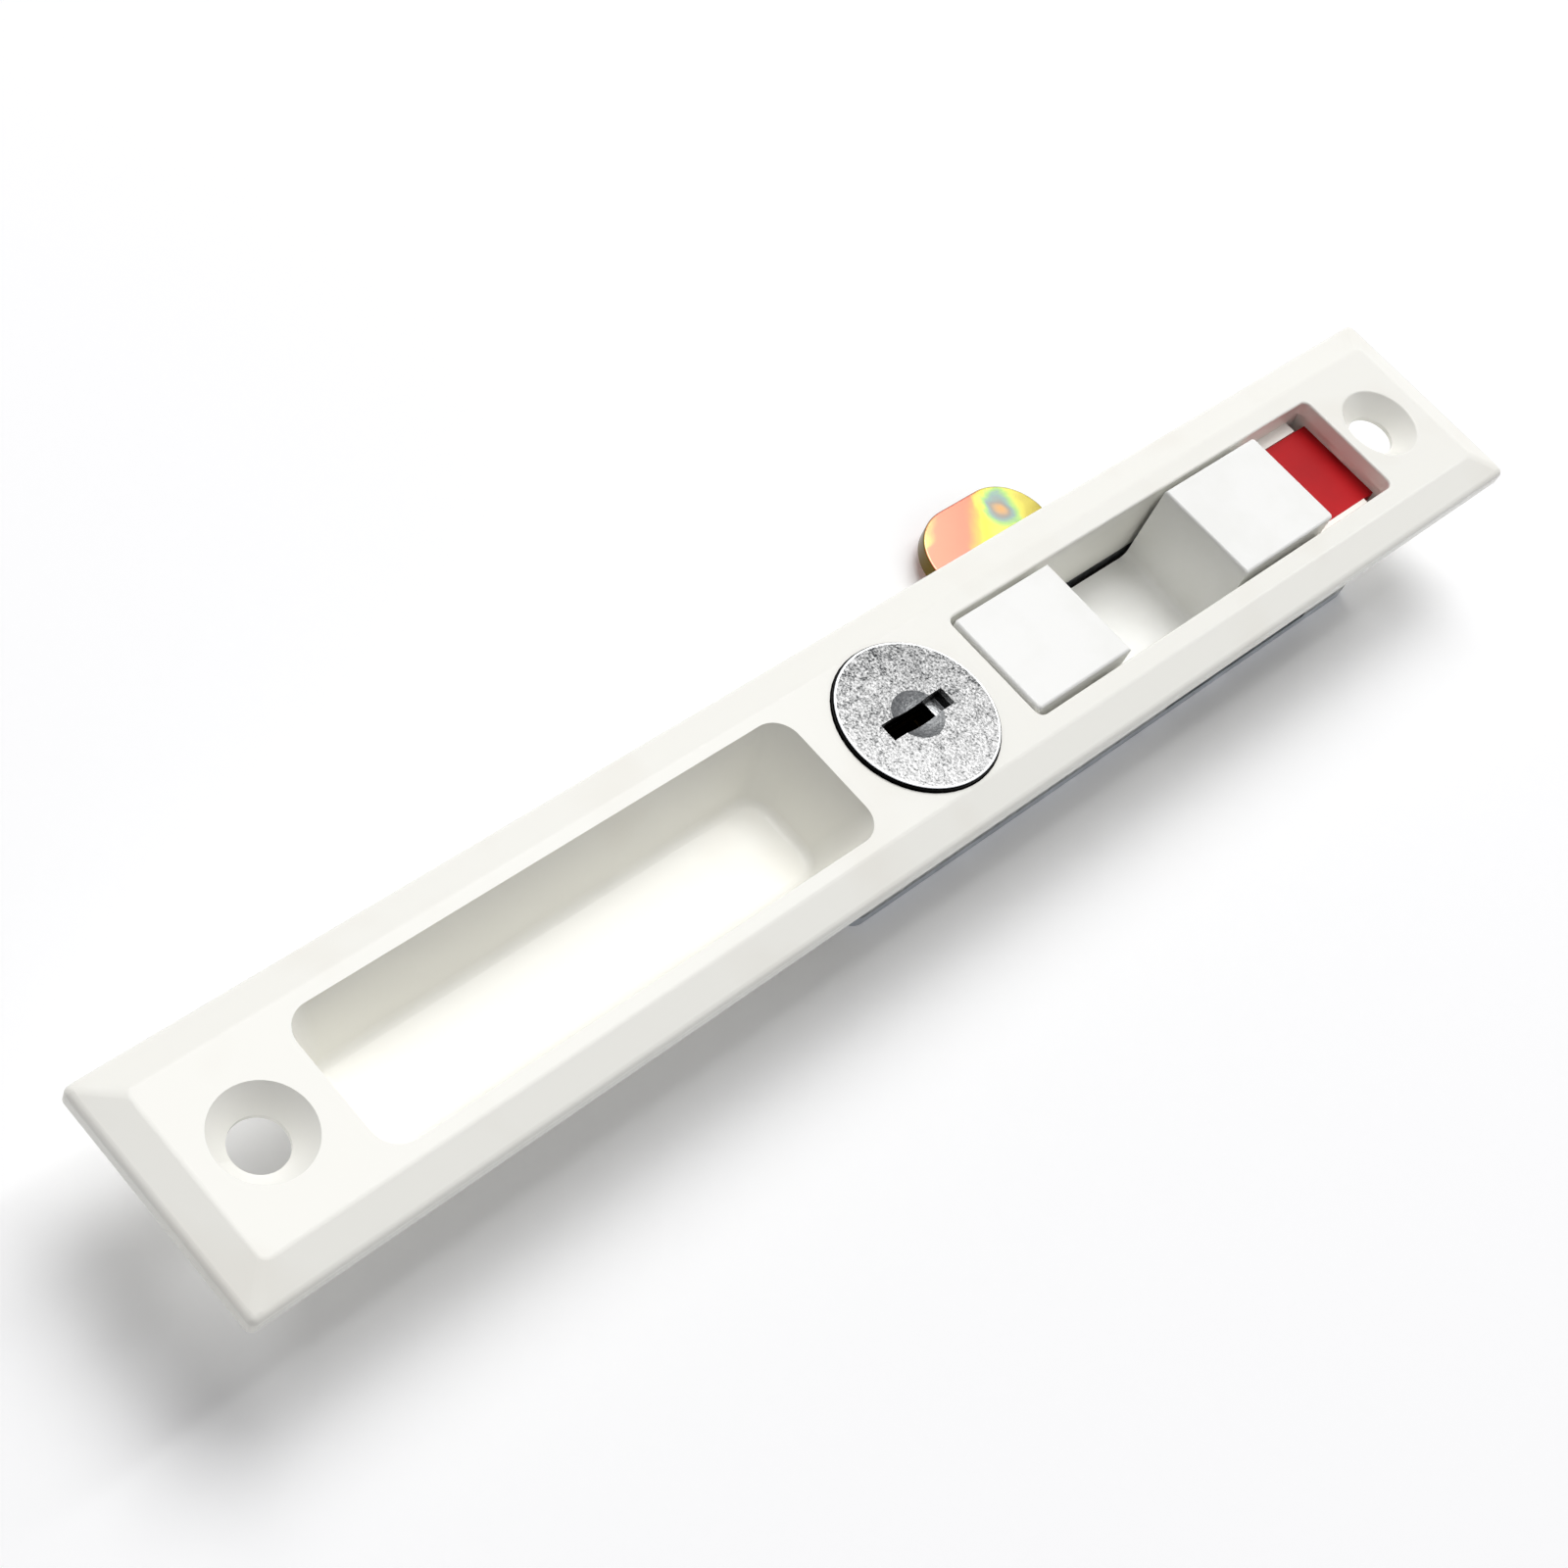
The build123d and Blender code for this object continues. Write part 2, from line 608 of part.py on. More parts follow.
for name, low, height, outer_diameter, hole in (
    ("hook_washer_lower", cover_z, washer_lower_thickness, washer_lower_diameter, pivot_diameter),
    ("hook_washer_upper", upper_washer_bottom, washer_upper_thickness, washer_upper_diameter, spigot_diameter),
):
    with BuildPart() as washer:
        with BuildSketch(Plane.XY.offset(low)):
            with Locations((pivot_x, pivot_y)):
                Circle(outer_diameter / 2)
                Circle(hole / 2 + pivot_gap, mode=Mode.SUBTRACT)
        extrude(amount=height)
    save(washer, name)

# Key cylinder: the shell in the casting, and the clip that holds it against the collar
with BuildPart() as cylinder_shell:
    with BuildSketch(Plane.XY.offset(shell_seat)):
        Circle(disc_diameter / 2)
    extrude(amount=shell_flange)
    with BuildSketch(Plane.XY.offset(shell_end)):
        Circle(shell_diameter / 2)
        Rectangle(shell_diameter + overlap, shell_flats, mode=Mode.INTERSECT)
    extrude(amount=shell_seat - shell_end)
    with BuildSketch(Plane.XY.offset(shell_end)):
        Circle(barrel_diameter / 2 + barrel_gap)
        # The grooves that the wafers spring into while the key is out
        Rectangle(barrel_diameter + catch_width, 2 * (wafer_side + catch_gap))
    extrude(amount=wafer_top - shell_end, mode=Mode.SUBTRACT)
    with BuildSketch(Plane.XY.offset(wafer_top)):
        Circle(barrel_diameter / 2 + barrel_gap)
    extrude(amount=shell_seat + shell_flange - wafer_top, mode=Mode.SUBTRACT)
    with BuildSketch(Plane.XY.offset(clip_top + clip_gap)):
        for side in (-1, 1):
            with Locations((0, side * (shell_flats - clip_groove + overlap) / 2)):
                Rectangle(shell_diameter + overlap, clip_groove + overlap)
    extrude(amount=-(clip_thickness + 2 * clip_gap), mode=Mode.SUBTRACT)
save(cylinder_shell, "cylinder_shell")

with BuildPart() as cylinder_clip:
    with BuildSketch(Plane.XY.offset(clip_top)):
        Circle(shell_diameter / 2 + clip_wall)
        rectangle(-shell_diameter, -clip_reach, -shell_diameter, shell_diameter, mode=Mode.SUBTRACT)
    extrude(amount=-clip_thickness)
    with BuildSketch(Plane.XY.offset(clip_top)):
        Circle(shell_diameter / 2 + shell_fit)
        rectangle(-shell_diameter, 0, -shell_diameter / 2, shell_diameter / 2)
        Rectangle(3 * shell_diameter, shell_flats - 2 * (clip_groove - clip_gap), mode=Mode.INTERSECT)
    extrude(amount=-clip_thickness, mode=Mode.SUBTRACT)
save(cylinder_clip, "cylinder_clip")

# Plug: the disc with its keyway, the barrel with its wafer slots, and the square tail for the cam
with BuildPart() as cylinder_plug:
    with BuildSketch(Plane.XY.offset(disc_bottom)):
        Circle(disc_diameter / 2)
    extrude(amount=disc_thickness)
    chamfer(cylinder_plug.faces().sort_by(Axis.Z)[-1].edges(), disc_chamfer)
    with BuildSketch(Plane.XY.offset(plug_end)):
        Circle(barrel_diameter / 2)
    extrude(amount=disc_bottom - plug_end)
    with BuildSketch(Plane.XY.offset(cam_bottom)):
        Rectangle(tail_square, tail_square)
    extrude(amount=plug_end - cam_bottom)
    with Locations((0, 0, disc_top - dimple_depth + dimple_ball)):
        Sphere(dimple_ball, mode=Mode.SUBTRACT)
    with BuildSketch(Plane.XY.offset(disc_top)):
        Rectangle(keyway_length, keyway_width)
    extrude(amount=-keyway_step, mode=Mode.SUBTRACT)
    with BuildSketch(Plane.XY.offset(disc_top)):
        Rectangle(blade_width, keyway_width)
    extrude(amount=blade_end - disc_top, mode=Mode.SUBTRACT)
    for level in wafer_levels:
        with BuildSketch(Plane.XY.offset(level - wafer_thickness / 2 - wafer_fit)):
            rectangle(-barrel_diameter, barrel_diameter, -wafer_side - wafer_fit, lug_side + wafer_fit)
            rectangle(-spring_pocket, spring_pocket, lug_side, wafer_side + wafer_fit)
        extrude(amount=wafer_thickness + 2 * wafer_fit, mode=Mode.SUBTRACT)
    with BuildSketch(Plane.XY.offset(cam_bottom)):
        Circle(cam_screw_core / 2)
    extrude(amount=cam_screw_length + hole_spare, mode=Mode.SUBTRACT)
save(cylinder_plug, "cylinder_plug")

# Wafers, drawn at the shear line as a fitting key holds them, each with its window at its own step
for index, (level, step) in enumerate(zip(wafer_levels, wafer_steps), start=1):
    with BuildPart() as wafer:
        with BuildSketch(Plane.XY.offset(level - wafer_thickness / 2)):
            Circle(barrel_diameter / 2 - wafer_fit)
            rectangle(-barrel_diameter, barrel_diameter, -wafer_side, lug_side, mode=Mode.INTERSECT)
            rectangle(-lug_width / 2, lug_width / 2, lug_side - lug_root, wafer_side)
            with Locations((step, 0)):
                Rectangle(wafer_window, keyway_width + 2 * wafer_fit, mode=Mode.SUBTRACT)
        extrude(amount=wafer_thickness)
    save(wafer, f"wafer_{index}")

with BuildPart() as wafer_springs:
    for level in wafer_levels:
        with BuildSketch(Plane((lug_width / 2, (lug_side + wafer_side + wafer_fit) / 2, level), z_dir=(1, 0, 0))):
            Circle(spring_diameter / 2)
            Circle(spring_diameter / 2 - spring_wire, mode=Mode.SUBTRACT)
        extrude(amount=spring_pocket - lug_width / 2)
save(wafer_springs, "wafer_springs")

with BuildPart() as lock_cam:
    with BuildSketch(Plane.XY.offset(cam_bottom)):
        Circle(cam_diameter / 2)
        rectangle(-cam_diameter, cam_diameter, cam_flat, cam_diameter, mode=Mode.SUBTRACT)
        Rectangle(tail_square, tail_square, mode=Mode.SUBTRACT)
    extrude(amount=cam_top - cam_bottom)
save(lock_cam, "lock_cam")

with BuildPart() as cam_washer:
    with BuildSketch(Plane.XY.offset(cam_washer_bottom)):
        Circle(cam_washer_diameter / 2)
        Circle(cam_screw_core / 2, mode=Mode.SUBTRACT)
    extrude(amount=cam_washer_thickness)
save(cam_washer, "cam_washer")

with BuildPart() as cam_screw:
    with BuildSketch(Plane.XY.offset(cam_washer_bottom)):
        Circle(cam_screw_head / 2)
    extrude(amount=-cam_screw_head_height)
    with BuildSketch(Plane.XY.offset(cam_washer_bottom)):
        Circle(cam_screw_core / 2)
    extrude(amount=cam_washer_thickness + cam_screw_length)
save(cam_screw, "cam_screw")

# Leaf spring on the case wall: its bump drops into the slide plate's dimples at both ends of the travel
with BuildPart() as detent_spring:
    with BuildSketch(Plane.XY.offset(leaf_bottom)):
        rectangle(leaf_left, leaf_left + leaf_length, leaf_back, leaf_front)
        with Locations((detent_x, bump_y)):
            Circle(bump_radius)
            Circle(bump_radius - leaf_thickness, mode=Mode.SUBTRACT)
        rectangle(leaf_left, leaf_left + leaf_length, leaf_back - 2 * bump_radius, leaf_back, mode=Mode.SUBTRACT)
    extrude(amount=leaf_height)
    with BuildSketch(Plane.XZ.offset(case_width / 2)):
        with Locations((rivet_x, leaf_middle)):
            Circle(rivet_diameter / 2)
    extrude(amount=-(case_width / 2 + leaf_front), mode=Mode.SUBTRACT)
save(detent_spring, "detent_spring")

with BuildPart() as detent_rivet:
    with BuildSketch(Plane.XZ.offset(case_width / 2)):
        with Locations((rivet_x, leaf_middle)):
            Circle(rivet_diameter / 2)
    extrude(amount=-(case_width / 2 + leaf_front))
    with BuildSketch(Plane.XZ.offset(-leaf_front)):
        with Locations((rivet_x, leaf_middle)):
            Circle(rivet_head / 2)
    extrude(amount=-rivet_head_height)
save(detent_rivet, "detent_rivet")

# Cover of the case, flush on its back, and its three screws
with BuildPart() as back_cover:
    with BuildSketch(Plane.XY.offset(cover_bottom)):
        with Locations(((case_left + case_right) / 2, 0)):
            RectangleRounded(case_right - case_left, case_width, case_corner)
    extrude(amount=cover_thickness)
    for x, y in cover_screw_places:
        with Locations(Plane((x, y, cover_bottom), z_dir=(0, 0, -1))):
            CounterSinkHole(cover_screw_core / 2, cover_screw_head / 2, counter_sink_angle=small_screw_angle)
    with Locations(Plane((pivot_x, pivot_y, cover_bottom), z_dir=(0, 0, -1))):
        CounterSinkHole(pivot_tail / 2, pivot_tail / 2 + pivot_flare, counter_sink_angle=small_screw_angle)
save(back_cover, "back_cover")

with BuildPart() as cover_screws:
    head_height = (cover_screw_head - cover_screw_core) / 2
    for place in cover_screw_places:
        with BuildSketch(Plane.XY.offset(cover_bottom)):
            with Locations(place):
                Circle(cover_screw_head / 2)
        with BuildSketch(Plane.XY.offset(cover_bottom + head_height)):
            with Locations(place):
                Circle(cover_screw_core / 2)
        loft()
        with BuildSketch(Plane.XY.offset(cover_bottom + head_height)):
            with Locations(place):
                Circle(cover_screw_core / 2)
        extrude(amount=cover_screw_length - head_height)
save(cover_screws, "cover_screws")
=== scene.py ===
# Sliding door lock, dressed for a studio picture on a white table
import json
import math

import bmesh
import bpy
from mathutils import Matrix, Vector


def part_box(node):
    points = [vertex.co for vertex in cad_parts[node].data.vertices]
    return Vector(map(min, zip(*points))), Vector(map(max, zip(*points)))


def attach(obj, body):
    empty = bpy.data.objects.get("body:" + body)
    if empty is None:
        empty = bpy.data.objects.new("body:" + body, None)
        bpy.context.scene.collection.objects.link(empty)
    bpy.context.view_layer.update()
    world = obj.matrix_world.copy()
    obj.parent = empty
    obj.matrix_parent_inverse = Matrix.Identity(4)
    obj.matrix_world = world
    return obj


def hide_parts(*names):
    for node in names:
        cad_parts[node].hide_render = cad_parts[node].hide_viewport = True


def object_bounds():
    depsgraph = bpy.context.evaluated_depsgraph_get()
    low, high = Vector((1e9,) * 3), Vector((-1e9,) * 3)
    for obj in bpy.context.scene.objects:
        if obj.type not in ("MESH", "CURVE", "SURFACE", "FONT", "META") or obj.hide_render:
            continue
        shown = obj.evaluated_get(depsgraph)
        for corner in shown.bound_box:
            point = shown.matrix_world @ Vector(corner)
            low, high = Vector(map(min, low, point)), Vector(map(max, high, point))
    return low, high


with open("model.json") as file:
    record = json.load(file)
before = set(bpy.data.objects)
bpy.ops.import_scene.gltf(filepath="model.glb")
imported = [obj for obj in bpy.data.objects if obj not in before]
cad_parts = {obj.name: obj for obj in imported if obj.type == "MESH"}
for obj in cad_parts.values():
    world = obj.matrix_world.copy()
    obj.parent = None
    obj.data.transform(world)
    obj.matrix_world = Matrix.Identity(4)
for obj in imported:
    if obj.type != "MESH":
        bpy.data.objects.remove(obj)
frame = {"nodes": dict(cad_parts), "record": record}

cadBox = [list(corner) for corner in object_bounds()]
scene = bpy.context.scene
scene.view_settings.view_transform = "Standard"
mm = 0.001
flatten = (1, 1, 0)     # keeps the X and Y of a place and drops its height

# What a user may want to change comes first for each piece, then the code that uses it


def srgb(hexColour):
    # sRGB hex to the linear values that the shaders take
    parts = [int(hexColour[i:i + 2], 16) / 255 for i in (1, 3, 5)]
    return tuple(c / 12.92 if c <= 0.04045 else ((c + 0.055) / 1.055) ** 2.4 for c in parts) + (1.0,)


def addNode(tree, kind, settings=None, inputs=None, stops=()):
    # one node with its settings, a value or another node's output for each input, and the
    # (place, hex) stops of a ramp
    node = tree.nodes.new(kind)
    for name, value in (settings or {}).items():
        setattr(node, name, value)
    for name, value in (inputs or {}).items():
        if isinstance(value, bpy.types.NodeSocket):
            tree.links.new(value, node.inputs[name])
        else:
            node.inputs[name].default_value = value
    for index, (place, colour) in enumerate(stops):
        elements = node.color_ramp.elements
        element = elements[index] if index < 2 else elements.new(place)
        element.position, element.color = place, srgb(colour)
    return node


def newMaterial(name, values):
    # a fresh material, its nodes, its shader with the constants set, and the place on the object in mm
    material = bpy.data.materials.new(name)
    material.use_nodes = True
    tree = material.node_tree
    shader = tree.nodes["Principled BSDF"]
    for socket, value in values.items():
        shader.inputs[socket].default_value = value
    here = addNode(tree, "ShaderNodeTexCoord").outputs["Object"]
    place = addNode(tree, "ShaderNodeVectorMath", {"operation": "SCALE"}, {0: here, "Scale": 1 / mm})
    return material, tree, shader, place.outputs[0]


def feed(tree, shader, sources):
    # leads the patterns to the shader's sockets
    for socket, source in sources.items():
        tree.links.new(source, shader.inputs[socket])


def dress(nodeNames, material):
    # puts one finish on each named piece
    for name in nodeNames:
        piece = frame["nodes"][name]
        piece.data.materials.clear()
        piece.data.materials.append(material)


def whereSeen(tree):
    # 1 for rays that look at a thing directly, in metal or through glass, 0 for those that it only lights
    rays = addNode(tree, "ShaderNodeLightPath").outputs
    seen = addNode(tree, "ShaderNodeMath", {"operation": "MAXIMUM"},
                   {0: rays["Is Camera Ray"], 1: rays["Is Glossy Ray"]})
    seen = addNode(tree, "ShaderNodeMath", {"operation": "MAXIMUM"},
                   {0: seen.outputs[0], 1: rays["Is Transmission Ray"]})
    return seen.outputs[0]


# Camera

look = {
    "eye": (-179.9, -68.1, 220.3),      # mm from the lock's origin
    "right": (0.69069, -0.65675, 0.3027),
    "down": (-0.43516, -0.71178, -0.55137),
    "fieldOfView": 31.42,               # degrees across the square picture
    "nearest": 0.01,                    # metres, it draws nothing nearer
}
cameraData = bpy.data.cameras.new("camera")
cameraData.lens = cameraData.sensor_width / 2 / math.tan(math.radians(look["fieldOfView"] / 2))
cameraData.clip_start = look["nearest"]
camera = bpy.data.objects.new("camera", cameraData)
scene.collection.objects.link(camera)
rightAxis, downAxis = Vector(look["right"]).normalized(), Vector(look["down"]).normalized()
turn = Matrix((rightAxis, -downAxis, rightAxis.cross(-downAxis))).transposed()
camera.matrix_world = Matrix.Translation(Vector(look["eye"]) * mm) @ turn.to_4x4()
scene.camera = camera
print("camera placed")

# Table and light

table = {
    "size": 6.0,            # metres
    "colour": "#FFFFFF",
    "roughness": 0.8,
    "gap": 0.00005,         # metres under the cover
    "lift": 0.03,           # how much white the eye sees on top of the lit paper, which leaves the shadow
}
half = table["size"] / 2
corners = [(-half, -half, 0), (half, -half, 0), (half, half, 0), (-half, half, 0)]
floorMesh = bpy.data.meshes.new("tableTop")
floorMesh.from_pydata(corners, [], [(0, 1, 2, 3)])
floor = bpy.data.objects.new("tableTop", floorMesh)
floor.location = (0, 0, cadBox[0][2] - table["gap"])
scene.collection.objects.link(floor)
floorMaterial, tree, shader = newMaterial("matteWhitePaper", {
    "Base Color": srgb(table["colour"]), "Roughness": table["roughness"],
    "Emission Color": (1, 1, 1, 1)})[:3]
lift = addNode(tree, "ShaderNodeMath", {"operation": "MULTIPLY"}, {0: whereSeen(tree), 1: table["lift"]})
feed(tree, shader, {"Emission Strength": lift.outputs[0]})
floorMesh.materials.append(floorMaterial)

studio = {
    "roomColour": "#FBFBFF",
    "bright": 0.33,             # the room's strength on the window side
    "dim": 0.18,                # and on the other side
    "windowSide": (0.50, 0.42, 0.75),
    "brightFrom": 0.9,          # it is bright from here on to the window side, which is 1
    "dimFrom": -0.5,            # and dim from here on to the other side, which is -1
    "background": 1.0,          # the room as it is seen or mirrored, where 1 is white
    "lamps": (
        # name, place in mm, what it points at, width and height in metres, watts
        ("bigSoftbox", (700, 790, 2150), (0, 0, 0), (1.55, 1.55), 42.5),
        ("stripSoftbox", (1180, -20, 1440), (0, 0, 0), (0.12, 0.9), 3.0),
    ),
}
world = bpy.data.worlds.new("whiteRoom")
scene.world = world
world.use_nodes = True
tree = world.node_tree
background = tree.nodes["Background"]
background.inputs["Color"].default_value = srgb(studio["roomColour"])
towards = addNode(tree, "ShaderNodeTexCoord")
side = addNode(tree, "ShaderNodeVectorMath", {"operation": "DOT_PRODUCT"},
               {0: towards.outputs["Generated"], 1: studio["windowSide"]})
room = addNode(tree, "ShaderNodeMapRange", {"interpolation_type": "SMOOTHSTEP"}, {
    "Value": side.outputs["Value"], "From Min": studio["dimFrom"], "From Max": studio["brightFrom"],
    "To Min": studio["dim"], "To Max": studio["bright"]})
strength = addNode(tree, "ShaderNodeMix", {"data_type": "FLOAT"},
                   {"Factor": whereSeen(tree), "A": room.outputs["Result"], "B": studio["background"]})
feed(tree, background, {"Strength": strength.outputs["Result"]})

for name, spot, target, (width, height), watts in studio["lamps"]:
    lampData = bpy.data.lights.new(name, "AREA")
    lampData.shape = "RECTANGLE"
    lampData.size, lampData.size_y = width, height
    lampData.energy = watts
    lamp = bpy.data.objects.new(name, lampData)
    lamp.location = Vector(spot) * mm
    lamp.rotation_euler = (Vector(target) - Vector(spot)).to_track_quat("-Z", "Y").to_euler()
    scene.collection.objects.link(lamp)
print("table and lamps placed")

# Powder-coated casting

powderCoat = {
    "colours": ((0.3, "#F5F3EB"), (0.46, "#F8F7F0")),   # its thinner and its fuller clouds
    "cloud": 12.5,              # mm from cloud to cloud
    "shine": 0.25,
    "roughness": 0.24,
    "peel": 1.8,                # mm from ripple to ripple of the coat
    "peelDepth": 0.012,         # mm
    "peelStrength": 0.35,
    "castColours": ((0.3, "#6A6D6E"), (0.7, "#8E9192")),
    "castRoughness": 0.5,
    "castGrain": 0.6,           # mm
    "castRelief": 4.0,          # how many times as high as the ripples that grain stands
    "fullAbove": -10.0,         # mm, on the outer walls the coat is whole above this level
    "goneBelow": -15.5,         # mm, and has thinned to bare metal here
    "fray": 5.0,                # mm, how far these levels stray up and down
    "frayWidth": 2.0,           # mm from one stray to the next
    "hollowsTo": -7.8,          # mm, below this level the walls inside the hollows are dull grey bare metal, painted as their shade too
    "recessMiddle": -45.0,      # mm along the plate
    "wallFrom": 3.0,            # mm, a face nearer than this to the middle of its hollow isn't a wall
    "underside": -0.3,          # a face is one if its normal points further down than this
}


def glossyPowderCoat():
    # polyester powder baked on die-cast zinc: a softly glossy, faintly rippled white skin on all that faces
    # the gun. It thins to the dull grey casting on the outer walls of pan and case behind the flange and on
    # the undersides, and the deep inner walls of the hollows are that grey too; this grey is bare metal and
    # also painted shade where the flange and the hollows shade those faces
    c = powderCoat
    material, tree, shader, place = newMaterial(
        "glossyWhitePowderCoat", {"IOR": 1.5, "Specular IOR Level": c["shine"]})
    caseLow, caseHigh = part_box("back_cover")
    caseMiddle = (caseLow[0] + caseHigh[0]) / 2 / mm
    at = addNode(tree, "ShaderNodeSeparateXYZ", inputs={0: place}).outputs
    normal = addNode(tree, "ShaderNodeTexCoord").outputs["Normal"]
    facing = addNode(tree, "ShaderNodeSeparateXYZ", inputs={0: normal}).outputs

    # a wall that faces away from the middle of its own hollow is an outer wall
    onCase = addNode(tree, "ShaderNodeMath", {"operation": "GREATER_THAN"},
                     {0: at["X"], 1: caseLow[0] / mm})
    middle = addNode(tree, "ShaderNodeMath", {"operation": "MULTIPLY_ADD"},
                     {0: onCase.outputs[0], 1: caseMiddle - c["recessMiddle"], 2: c["recessMiddle"]})
    along = addNode(tree, "ShaderNodeMath", {"operation": "SUBTRACT"}, {0: at["X"], 1: middle.outputs[0]})
    awayAlong = addNode(tree, "ShaderNodeMath", {"operation": "MULTIPLY"},
                        {0: along.outputs[0], 1: facing["X"]})
    away = addNode(tree, "ShaderNodeMath", {"operation": "MULTIPLY_ADD"},
                   {0: at["Y"], 1: facing["Y"], 2: awayAlong.outputs[0]}).outputs[0]
    outer = addNode(tree, "ShaderNodeMath", {"operation": "GREATER_THAN"}, {0: away, 1: c["wallFrom"]})
    inner = addNode(tree, "ShaderNodeMath", {"operation": "LESS_THAN"}, {0: away, 1: -c["wallFrom"]})
    under = addNode(tree, "ShaderNodeMath", {"operation": "LESS_THAN"}, {0: facing["Z"], 1: c["underside"]})
    deep = addNode(tree, "ShaderNodeMath", {"operation": "LESS_THAN"}, {0: at["Z"], 1: c["hollowsTo"]})
    hidden = addNode(tree, "ShaderNodeMath", {"operation": "MAXIMUM"},
                     {0: outer.outputs[0], 1: under.outputs[0]})
    deepHollowShade = addNode(tree, "ShaderNodeMath", {"operation": "MULTIPLY"},
                        {0: inner.outputs[0], 1: deep.outputs[0]})

    frayed = addNode(tree, "ShaderNodeTexNoise", inputs={
        "Vector": place, "Scale": 1 / c["frayWidth"], "Detail": 4.0, "Roughness": 0.7})
    level = addNode(tree, "ShaderNodeMath", {"operation": "MULTIPLY_ADD"},
                    {0: frayed.outputs["Fac"], 1: c["fray"], 2: at["Z"]})
    coated = addNode(tree, "ShaderNodeMapRange", {"interpolation_type": "SMOOTHSTEP"}, {
        "Value": level.outputs[0], "From Min": c["goneBelow"] + c["fray"] / 2,
        "From Max": c["fullAbove"] + c["fray"] / 2})
    thinned = addNode(tree, "ShaderNodeMath", {"operation": "SUBTRACT", "use_clamp": True},
                      {0: hidden.outputs[0], 1: coated.outputs["Result"]})
    # bare metal and painted shade: outer walls, undersides and deep inner walls turn dull grey
    bareMetalAndShade = addNode(tree, "ShaderNodeMath", {"operation": "MAXIMUM"},
                   {0: thinned.outputs[0], 1: deepHollowShade.outputs[0]}).outputs[0]

    cloud = addNode(tree, "ShaderNodeTexNoise",
                    inputs={"Vector": place, "Scale": 1 / c["cloud"], "Detail": 2.0})
    white = addNode(tree, "ShaderNodeValToRGB", inputs={"Fac": cloud.outputs["Fac"]}, stops=c["colours"])
    grain = addNode(tree, "ShaderNodeTexNoise",
                    inputs={"Vector": place, "Scale": 1 / c["castGrain"], "Detail": 3.0})
    cast = addNode(tree, "ShaderNodeValToRGB", inputs={"Fac": grain.outputs["Fac"]}, stops=c["castColours"])
    colour = addNode(tree, "ShaderNodeMix", {"data_type": "RGBA"},
                     {0: bareMetalAndShade, 6: white.outputs["Color"], 7: cast.outputs["Color"]})
    dull = addNode(tree, "ShaderNodeMapRange",
                   inputs={"Value": bareMetalAndShade, "To Min": c["roughness"], "To Max": c["castRoughness"]})
    peel = addNode(tree, "ShaderNodeTexNoise",
                   inputs={"Vector": place, "Scale": 1 / c["peel"], "Detail": 1.0})
    rough = addNode(tree, "ShaderNodeMath", {"operation": "MULTIPLY"}, {0: grain.outputs["Fac"], 1: bareMetalAndShade})
    height = addNode(tree, "ShaderNodeMath", {"operation": "MULTIPLY_ADD"},
                     {0: rough.outputs[0], 1: c["castRelief"], 2: peel.outputs["Fac"]})
    bump = addNode(tree, "ShaderNodeBump", inputs={
        "Strength": c["peelStrength"], "Distance": c["peelDepth"] * mm, "Height": height.outputs[0]})
    feed(tree, shader, {"Base Color": colour.outputs[2], "Roughness": dull.outputs["Result"],
                        "Metallic": bareMetalAndShade, "Normal": bump.outputs["Normal"]})
    return material


dress(["face_plate"], glossyPowderCoat())
print("powder coat done")

# Moulded plastics

mouldedSkin = {
    "cloud": 7.0,               # mm between the places that fingers polish
    "spark": 0.35,              # mm between the pits of the grain
    "sparkDepth": 0.006,        # mm
    "sparkStrength": 0.3,
}
whitePlastic = {"colours": ((0.35, "#F5F5F1"), (0.6, "#F9F9F6")), "roughness": (0.31, 0.42), "shine": 0.4}
redPlastic = {"colours": ((0.35, "#AC0D15"), (0.6, "#B80F17")), "roughness": (0.45, 0.56), "shine": 0.15}


def mouldedAbs(name, c):
    # injection-moulded ABS from a finely spark-eroded tool: satin, with a tiny even grain, drawn twice as
    # coarse as it is so that it shows, and a slightly uneven gloss where fingers polish it
    material, tree, shader, place = newMaterial(name, {"IOR": 1.53, "Specular IOR Level": c["shine"]})
    cloud = addNode(tree, "ShaderNodeTexNoise",
                    inputs={"Vector": place, "Scale": 1 / mouldedSkin["cloud"], "Detail": 3.0})
    tint = addNode(tree, "ShaderNodeValToRGB", inputs={"Fac": cloud.outputs["Fac"]}, stops=c["colours"])
    gloss = addNode(tree, "ShaderNodeMapRange", inputs={
        "Value": cloud.outputs["Fac"], "To Min": c["roughness"][0], "To Max": c["roughness"][1]})
    spark = addNode(tree, "ShaderNodeTexNoise",
                    inputs={"Vector": place, "Scale": 1 / mouldedSkin["spark"], "Detail": 2.0})
    bump = addNode(tree, "ShaderNodeBump", inputs={
        "Strength": mouldedSkin["sparkStrength"], "Distance": mouldedSkin["sparkDepth"] * mm,
        "Height": spark.outputs["Fac"]})
    feed(tree, shader, {"Base Color": tint.outputs["Color"], "Roughness": gloss.outputs["Result"],
                        "Normal": bump.outputs["Normal"]})
    return material


dress(["thumb_slider"], mouldedAbs("whiteMouldedAbs", whitePlastic))
dress(["indicator_insert"], mouldedAbs("redMouldedAbs", redPlastic))
print("plastics done")

# Key disc and shell

